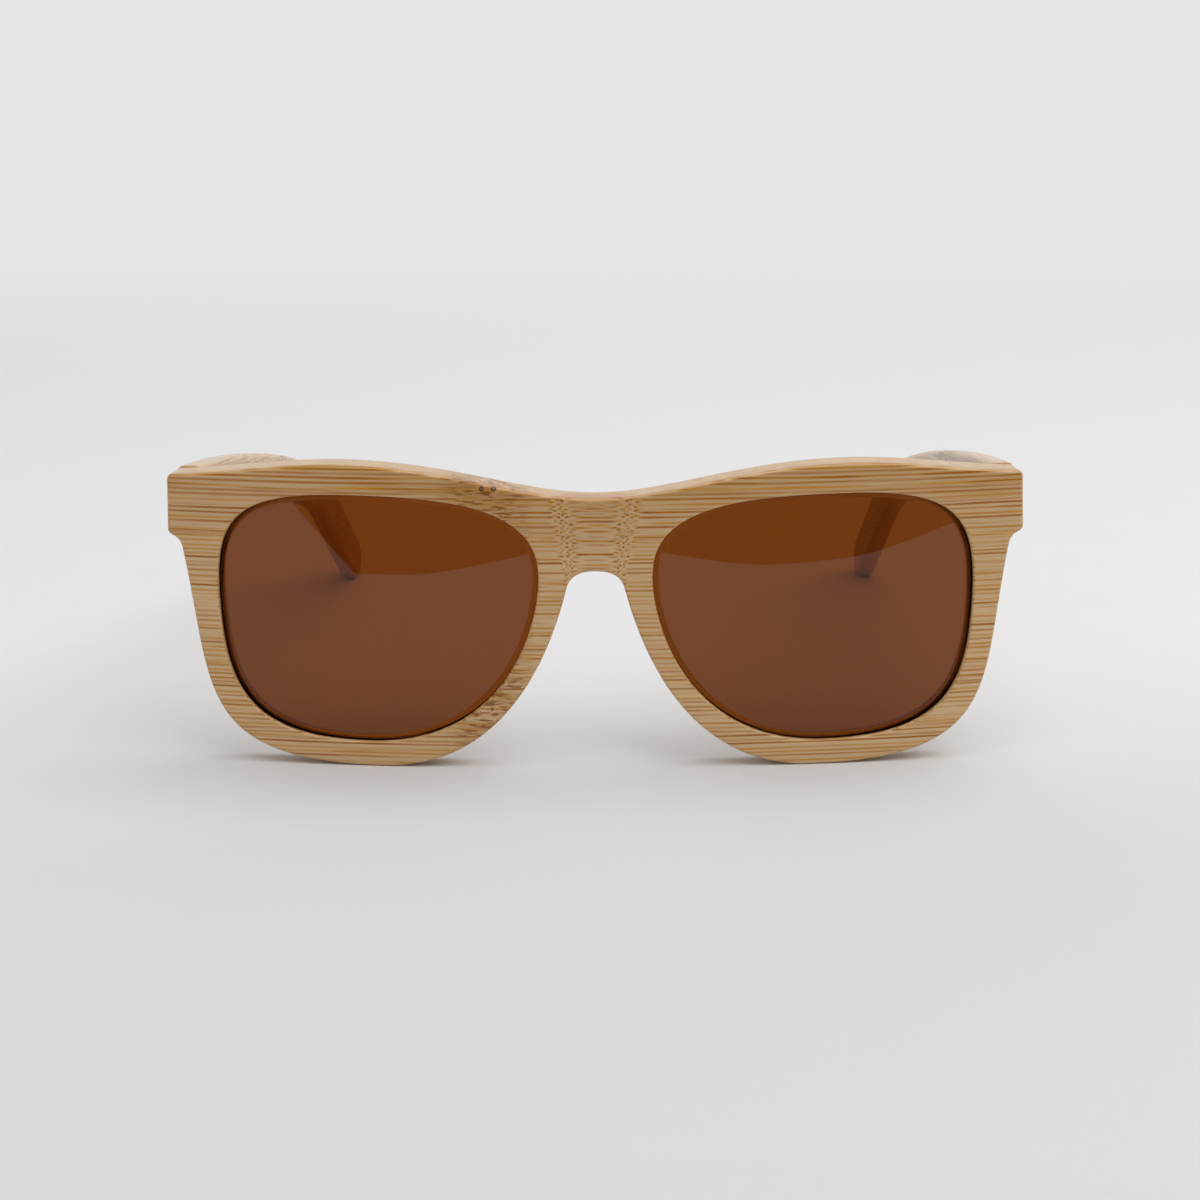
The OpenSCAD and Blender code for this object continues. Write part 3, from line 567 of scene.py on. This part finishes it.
rough_flesh = net.ramp(fine, 0.2, 0.8, 0.18, 0.26)
dents = net.maths("ADD", net.maths("MULTIPLY", bundle, 0.5), speck)
net.feed(result["Color"], net.mixed(speck, streaked, speck_brown))
net.feed(
    result["Roughness"], net.maths("ADD", rough_flesh, net.maths("MULTIPLY", bundle, 0.06))
)
net.feed(result["Height"], net.maths("SUBTRACT", net.maths("MULTIPLY", fine, 0.4), dents))


def bamboo(name, node_at, seed, streaks):
    """Sanded and oiled bamboo, with a node of the cane that far along the fibres."""
    material, net, surface = new_material(name)
    grain = net.attribute("grain")["Vector"]
    wood = net.add(
        "ShaderNodeGroup",
        {"Grain": grain, "Node": node_at, "Seed": seed, "Streaks": streaks},
        node_tree=bamboo_group,
    ).outputs
    shader = net.add("ShaderNodeBsdfPrincipled", {
        # Painted shade darkens the groove round each lens
        "Base Color": net.mixed(net.attribute("painted_shade")["Fac"], wood["Color"], painted_shade_brown),
        "Roughness": wood["Roughness"],
        "Normal": net.bump(wood["Height"], 0.35, 0.00008),
        "IOR": 1.48,
        "Coat Weight": 0.3,
        "Coat Roughness": 0.12,
    })
    net.feed(surface, shader.outputs[0])
    return material


front.data.materials.append(bamboo("front_bamboo", -18.0, 1.0, 1.0))
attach(front, "front")
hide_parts("front_frame")

# Lenses: brown tinted plastic, cut to the opening with an edge that snaps into the groove and a
# bevel round the front, with painted shade on its outer side for the shaded rim wall and groove
# seen through it. Each bulges a little, so its upper part mirrors what lies past the table.
lens_crown, lens_fit, lens_bevel, bevel_slope = 1.0, 0.05, 1.0, np.radians(30)
lens_rings = np.linspace(0.04, 1, 28)


def lens_rows(side, inset):
    """Rings of a lens face: its outline drawn in by a share, bulging as 1 - share squared."""
    p = lens_middle + (lens_at - lens_in * inset - lens_middle) * lens_rings[:, None, None]
    y = groove_y + side * lens_t / 2 - lens_crown * (1 - lens_rings**2)
    return np.stack([p[:, :, 0], np.broadcast_to(y[:, None], p.shape[:2]), p[:, :, 1]], -1)


def lens_edge(reach, depth):
    """One ring at a reach past the opening's outline, all of it at one depth."""
    p = lens_at + lens_in * reach
    return np.column_stack([p[:, 0], np.full(station_count, depth), p[:, 1]])[None]


lens_grid = np.concatenate([
    lens_rows(-1, lens_bevel),
    lens_edge(0, lens_set + lens_bevel * np.tan(bevel_slope)),
    lens_edge(groove_d - lens_fit, groove_y),
    lens_rows(1, 0)[::-1],
])
lens_place = wrapped(lens_grid.reshape(-1, 3)) + front_place
lens_faces = capped_faces(len(lens_grid), station_count)
# Painted shade on the lens bevel, rising on the outer side of the outline
edge_shade_gain = 1.3
painted_edge_shade = np.zeros(lens_grid.shape[:2])
painted_edge_shade[len(lens_rings):-len(lens_rings)] = np.clip(edge_shade_gain * lens_in[:, 0], 0, 1)

tint = (0.200, 0.053, 0.0075, 1)
tint_cloud = (0.225, 0.063, 0.010, 1)
tint_edge_shade = (0.035, 0.010, 0.003, 1)
lens_material, net, surface = new_material("tinted_lens")
spot = net.add("ShaderNodeTexCoord").outputs["Object"]
cloud = net.ramp(net.noise(spot, 40.0, 1.0), 0.3, 0.7, 0.0, 0.12)
dust = net.noise(spot, 900.0, 3.0)
lens_colour = net.mixed(cloud, tint, tint_cloud)
# Painted shade on the outer bevel, for the shaded rim wall and groove seen through it
lens_colour = net.mixed(
    net.ramp(net.attribute("painted_shade")["Fac"], 0.0, 0.5), lens_colour, tint_edge_shade
)
glass = net.add("ShaderNodeBsdfPrincipled", {
    "Base Color": lens_colour,
    "Roughness": net.ramp(dust, 0.45, 0.8, 0.0, 0.035),
    "Transmission Weight": 1.0,
    "IOR": 1.43,
})
shade = net.add("ShaderNodeBsdfTransparent", {"Color": lens_colour})
thrown = net.add("ShaderNodeLightPath").outputs["Is Shadow Ray"]
lens_shader = net.add(
    "ShaderNodeMixShader", {0: thrown, 1: glass.outputs[0], 2: shade.outputs[0]}
)
net.feed(surface, lens_shader.outputs[0])

for hand, side in hands.items():
    lens = piece_on(side, f"lens_{hand}_tinted", lens_place, lens_faces, painted_shade=painted_edge_shade)
    cut_and_smooth(lens, crease=20)
    lens.data.materials.append(lens_material)
    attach(lens, "front")
    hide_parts(f"lens_{hand}")

# Temples: bamboo arms sawn from straight board, so the fibres run out at the bent hook. Each is
# mitred where it meets the front and has a pocket for the spring box on its inner side.
tip_t, temple_r, tip_ease, tip_end = 3.9, 1.2, 0.95, 89.4
arm_l, arm_r, bend_r, bend_angle, hook_l = 84.0, 420.0, 50.0, np.radians(20), 31.0
butt_h, hook_h, butt_gap, butt_ease = end_top - end_low, 9.0, 0.25, 0.2
joints = {joint["name"]: joint for joint in frame["joints"]}
hinge_at = np.array(joints["right_fold"]["pos_m"]) / mm
hinge_up = np.array(joints["right_fold"]["axis"])
hinge_along = np.array(joints["right_flex"]["axis"])
hinge_axes = np.column_stack([np.cross(hinge_along, hinge_up), hinge_along, hinge_up])
arm_turn = arm_l / arm_r
hook_turn = arm_turn + bend_angle
bend_l, tip_r = bend_r * bend_angle, hook_h / 2
tip_start = arm_l + bend_l + hook_l
temple_l = tip_start + tip_r


def centre_line(s):
    """Point (along, up) and turn at a distance along: an arc, a tighter arc, then straight."""
    arm = np.minimum(s, arm_l) / arm_r
    bent = np.clip(s - arm_l, 0, bend_l) / bend_r + arm_turn
    rest = np.maximum(s - arm_l - bend_l, 0)
    y_bend = bend_r * (np.sin(bent) - np.sin(arm_turn))
    z_bend = bend_r * (np.cos(bent) - np.cos(arm_turn))
    y = arm_r * np.sin(arm) + y_bend + rest * np.cos(hook_turn)
    z = arm_r * (np.cos(arm) - 1) + z_bend - rest * np.sin(hook_turn)
    return y, z, np.where(s < arm_l, arm, bent)


def temple_grid(s, past_tip, shrink):
    """Rounded sections square to the centre line, as rows of (inwards to outwards, along, up).

    Past the tip's centre each point lies on a circle round it, so that the edge stays rounded
    round the end. shrink draws the whole section in, for the eased edge of the butt.
    """
    y, z, turn = (v[:, None] for v in centre_line(s))
    tall = (butt_h + (hook_h - butt_h) * np.clip(s / arm_l, 0, 1)) / 2 - shrink
    thick = (temple_t + (tip_t - temple_t) * np.clip(s / temple_l, 0, 1)) / 2 - shrink
    tall, thick, past = tall[:, None], thick[:, None], past_tip[:, None]
    steps = np.linspace(0, 1, 7)
    inner = tall - temple_r
    full_turn = np.arccos(np.clip((past - inner) / temple_r, 0, 1))
    angle = np.concatenate([steps, steps[::-1], steps, steps[::-1]])
    angle = np.where(past > inner, tip_ease, 1) * full_turn * angle
    x_side = np.repeat([1, 1, -1, -1], len(steps))
    z_side = np.repeat([1, -1, -1, 1], len(steps))
    radius = inner + temple_r * np.cos(angle)
    x = x_side * (thick - temple_r + temple_r * np.sin(angle))
    h = z_side * np.sqrt(np.maximum(radius**2 - past**2, 0))
    ahead = past * np.cos(turn) + h * np.sin(turn)
    rise = h * np.cos(turn) - past * np.sin(turn)
    return np.stack([x + axis_inset + temple_t / 2, y + ahead, z + rise], -1)


butt_s = 1.5
arm_steps = np.concatenate([
    np.linspace(butt_s, arm_l, 40)[:-1],
    arm_l + np.linspace(0, bend_l + hook_l, 36),
])
tip_angles = np.radians(np.linspace(0, tip_end, 22)[1:])
temple_s = np.concatenate([[butt_s, butt_s], arm_steps, np.full(len(tip_angles), tip_start)])
past_tip = np.concatenate([np.zeros(2 + len(arm_steps)), tip_r * np.sin(tip_angles)])
shrink = np.zeros(len(temple_s))
shrink[0] = butt_ease
temple_rows = temple_grid(temple_s, past_tip, shrink)

# The butt lies on a plane just behind the back of the end piece, eased by a narrow chamfer
seat_point = seat_at @ lean.T + front_place
butt_normal = hinge_axes.T @ (lean @ seat_axes[:, 1])
butt_off = butt_gap - butt_normal @ (hinge_axes.T @ (hinge_at - seat_point))
for row, ease in ((0, 0.0), (1, butt_ease)):
    flat = temple_rows[row][:, [0, 2]] @ butt_normal[[0, 2]]
    temple_rows[row, :, 1] = (butt_off + ease - flat) / butt_normal[1]

temple_points = temple_rows.reshape(-1, 3)
temple_faces = capped_faces(*temple_rows.shape[:2])
temple_place = temple_points @ hinge_axes.T + hinge_at
box_sink, box_l, box_half_h, box_room, past_butt = 1.2, 19.8, 2.4, 0.25, 6
pocket = box_corners(
    (-cutter_out, -past_butt, -box_half_h - box_room),
    (axis_inset + box_sink + cut_room, box_l + cut_room, box_half_h + box_room),
)
pocket_place = pocket @ hinge_axes.T + hinge_at
to_grain = [1, 0, 2]
temple_nodes, temple_streaks = {"left": 58.0, "right": 34.0}, 0.45
for hand, side in hands.items():
    name, node_at = f"temple_{hand}_bamboo", temple_nodes[hand]
    temple = piece_on(side, name, temple_place, temple_faces, temple_points[:, to_grain])
    cut_and_smooth(
        temple, piece_on(side, f"pocket_{hand}", pocket_place, box_faces(), pocket[:, to_grain])
    )
    temple.data.materials.append(bamboo(name, node_at, node_at, temple_streaks))
    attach(temple, f"temple_{hand}")
    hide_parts(f"temple_{hand}")

# Hinge metal: leaves, sliders, boxes, screws and stops are the CAD solids themselves, turned or
# milled from steel, with a brass stop nut on the rod.
net, given, result = new_group(
    "brushed_metal",
    {"Bright": "Color", "Dull": "Color"},
    {"Color": "Color", "Roughness": "Float", "Height": "Float"},
)
brushed_group = net.tree
spot = net.add("ShaderNodeTexCoord").outputs["Object"]
drawn = net.add("ShaderNodeMapping", {"Vector": spot, "Scale": (9000, 500, 9000)}).outputs[0]
lines = net.noise(drawn, 1.0, 2.0)
stain = net.noise(spot, 600.0, 3.0)
rough_lines = net.ramp(lines, 0.2, 0.8, 0.2, 0.36)
rough_stain = net.ramp(stain, 0.4, 0.8, 0.0, 0.12)
net.feed(
    result["Color"], net.mixed(net.ramp(stain, 0.35, 0.75), given["Bright"], given["Dull"])
)
net.feed(result["Roughness"], net.maths("ADD", rough_lines, rough_stain))
net.feed(result["Height"], lines)


def metal(name, bright, dull):
    """Brushed metal with faint stains between two tones."""
    material, net, surface = new_material(name)
    finish = net.add(
        "ShaderNodeGroup", {"Bright": bright, "Dull": dull}, node_tree=brushed_group
    ).outputs
    shader = net.add("ShaderNodeBsdfPrincipled", {
        "Base Color": finish["Color"],
        "Roughness": finish["Roughness"],
        "Normal": net.bump(finish["Height"], 0.15, 0.00002),
        "Metallic": 1.0,
    })
    net.feed(surface, shader.outputs[0])
    return material


hinge_steel = metal("hinge_steel", (0.66, 0.65, 0.63, 1), (0.5, 0.49, 0.47, 1))
screw_steel = metal("screw_steel", (0.74, 0.73, 0.71, 1), (0.6, 0.59, 0.57, 1))
stop_brass = metal("stop_brass", (0.74, 0.55, 0.24, 1), (0.58, 0.4, 0.15, 1))
finishes = {
    "front_leaf": (hinge_steel, "hinge_steel"),
    "hinge_slider": (hinge_steel, "hinge_steel"),
    "spring_box": (hinge_steel, "hinge_steel"),
    "leaf_screws": (screw_steel, "screw_steel"),
    "hinge_screw": (screw_steel, "screw_steel"),
    "box_screws": (screw_steel, "screw_steel"),
    "spring_stop": (stop_brass, "stop_brass"),
}
for name, (material, slot_name) in finishes.items():
    for hand in hands:
        solid = frame["nodes"][f"{name}_{hand}"]
        solid.data.materials.clear()
        solid.data.materials.append(material)

# Springs: steel wire wound round each slider's rod, between the front wall of the box and the
# stop nut. When the temple pulls back, the box pushes the front end and the curls close up.
wire_r, wire_sides = 0.15, 10
coil_r, coil_l, spring_curls, rings_per_curl = 0.8, 7.8, 10, 24
knuckle_room, box_front, spring_fit = 0.5, 1.2, 0.05
spring_start = knuckle_r + knuckle_room + box_front + spring_fit + wire_r


def coil_rings():
    """Rings of the wire, each square to the way the helix of its centre line runs."""
    turn = np.linspace(0, 2 * np.pi * spring_curls, spring_curls * rings_per_curl + 1)[:, None]
    share = turn / turn[-1]
    flat = np.zeros_like(turn)
    out = np.hstack([np.cos(turn), flat, np.sin(turn)])
    run = np.hstack([-coil_r * np.sin(turn), flat + coil_l / turn[-1], coil_r * np.cos(turn)])
    run /= np.linalg.norm(run, axis=1, keepdims=True)
    angle = np.linspace(0, 2 * np.pi, wire_sides, endpoint=False)[:, None]
    ring = np.cos(angle) * out[:, None] + np.sin(angle) * np.cross(run, out)[:, None]
    middle = coil_r * out + (spring_start + coil_l * share) * (0, 1, 0)
    return middle[:, None] + wire_r * ring


wire = coil_rings()
wire_place = wire.reshape(-1, 3) @ hinge_axes.T + hinge_at
wire_faces = capped_faces(len(wire), wire_sides)
spring_steel = metal("spring_steel", (0.42, 0.42, 0.43, 1), (0.3, 0.3, 0.31, 1))
for hand, side in hands.items():
    spring = piece_on(side, f"hinge_spring_{hand}_wire", wire_place, wire_faces)
    cut_and_smooth(spring)
    spring.data.materials.append(spring_steel)
    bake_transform(spring)
    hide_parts(f"hinge_spring_{hand}")

# Studio: a pale table that sweeps up into a backdrop, a large soft lamp above on the right, and a
# dark room on the near side that only shows as a reflection in the lenses.
# Table greys in front of and behind the glasses: painted shade in front, painted light behind
near_shaded_grey = (0.735, 0.73, 0.735, 1)
far_lit_grey = (0.845, 0.845, 0.85, 1)
fleck_grey = (0.7, 0.7, 0.7, 1)
backdrop_grey = (0.79, 0.79, 0.805, 1)
room_brown = (0.02, 0.018, 0.016, 1)
sweep_r, back_y, near_y, half_wide, wall_z = 0.7, 2.2, -2.2, 3.0, 2.4
flat_steps = 12
sweep = np.radians(np.linspace(0, 90, 24))[1:]
table_y = np.concatenate([
    np.linspace(near_y, back_y - sweep_r, flat_steps),
    back_y - sweep_r + sweep_r * np.sin(sweep),
    [back_y],
])
table_z = np.concatenate([np.zeros(flat_steps), sweep_r * (1 - np.cos(sweep)), [wall_z]])
table_left = np.column_stack([np.full(len(table_y), -half_wide), table_y, table_z])
k = np.arange(len(table_y) - 1)
table = new_piece(
    "table",
    np.vstack([table_left, table_left * (-1, 1, 1)]) / mm,
    np.column_stack([k, k + len(table_y), k + len(table_y) + 1, k + 1]),
)
table.data.shade_smooth()

table_material, net, surface = new_material("pale_table")
spot = net.add("ShaderNodeTexCoord").outputs["Object"]
depth = net.add("ShaderNodeSeparateXYZ", {"Vector": spot}).outputs["Y"]
fleck = net.ramp(net.noise(spot, 60.0, 4.0), 0.3, 0.7, 0.0, 0.03)
# Painted light: the table turns lighter from just in front of the glasses backwards, lifting
# their shadow there
paper_and_painted_light = net.mixed(net.ramp(depth, -0.125, 0.02), near_shaded_grey, far_lit_grey)
paper_and_painted_light = net.mixed(fleck, paper_and_painted_light, fleck_grey)
paper_shader = net.add("ShaderNodeBsdfPrincipled", {
    "Base Color": paper_and_painted_light,
    "Roughness": 0.9,
    "Specular IOR Level": 0.2,
})
glow = net.add("ShaderNodeEmission", {"Color": backdrop_grey, "Strength": 1.0})
ray = net.add("ShaderNodeLightPath").outputs
mirrored = net.maths("MAXIMUM", ray["Is Glossy Ray"], ray["Is Transmission Ray"])
seen = net.maths("MAXIMUM", ray["Is Camera Ray"], mirrored)
far = net.maths("MULTIPLY", seen, net.ramp(depth, 0.15, 0.9))
table_shader = net.add(
    "ShaderNodeMixShader", {0: far, 1: paper_shader.outputs[0], 2: glow.outputs[0]}
)
net.feed(surface, table_shader.outputs[0])
table.data.materials.append(table_material)

room_near = np.array([[-80.0, -183], [1500, -390]])
room_far = np.array([[-666.0, -1200], [1500, -1200]])
room_low, room_top = 0.3, 1200
room = new_piece("dark_room", np.vstack([
    np.insert(room_near, 2, room_low, axis=1),
    np.insert(room_far, 2, room_low, axis=1),
    np.insert(room_far, 2, room_top, axis=1),
]), [[0, 2, 3, 1], [2, 4, 5, 3]])
room_material, net, surface = new_material("dark_room")
room_dark = net.add("ShaderNodeEmission", {"Color": room_brown, "Strength": 1.0})
net.feed(surface, room_dark.outputs[0])
room.data.materials.append(room_material)
for kind in ("camera", "diffuse", "transmission", "volume_scatter", "shadow"):
    setattr(room, f"visible_{kind}", False)

world = bpy.data.worlds.new("studio")
bpy.context.scene.world = world
world.use_nodes = True
background = world.node_tree.nodes["Background"].inputs
background["Color"].default_value = (1, 1, 1, 1)
background["Strength"].default_value = 0.45

lamp = bpy.data.lights.new("key", "AREA")
lamp.size, lamp.energy = 2.0, 23.5
key = bpy.data.objects.new("key", lamp)
key.location = (0.55, -0.28, 1.6)
key.rotation_mode = "QUATERNION"
key.rotation_quaternion = (-key.location).to_track_quat("-Z", "Y")
bpy.context.scene.collection.objects.link(key)

# Camera: a little above the glasses and in front of the bridge, where the photo was taken from,
# shifted as much as the photo's framing is.
camera = bpy.data.cameras.new("camera")
camera.sensor_width, camera.lens, camera.shift_x = 36.0, 60.7, -0.0333
camera.clip_start = 0.01
viewer = bpy.data.objects.new("camera", camera)
viewer.location = (0.0071, -0.3972, 0.11915)
viewer.rotation_euler = np.radians((74.898, 0.22, -0.123))
bpy.context.scene.collection.objects.link(viewer)
bpy.context.scene.camera = viewer
bpy.context.scene.view_settings.view_transform = "Standard"
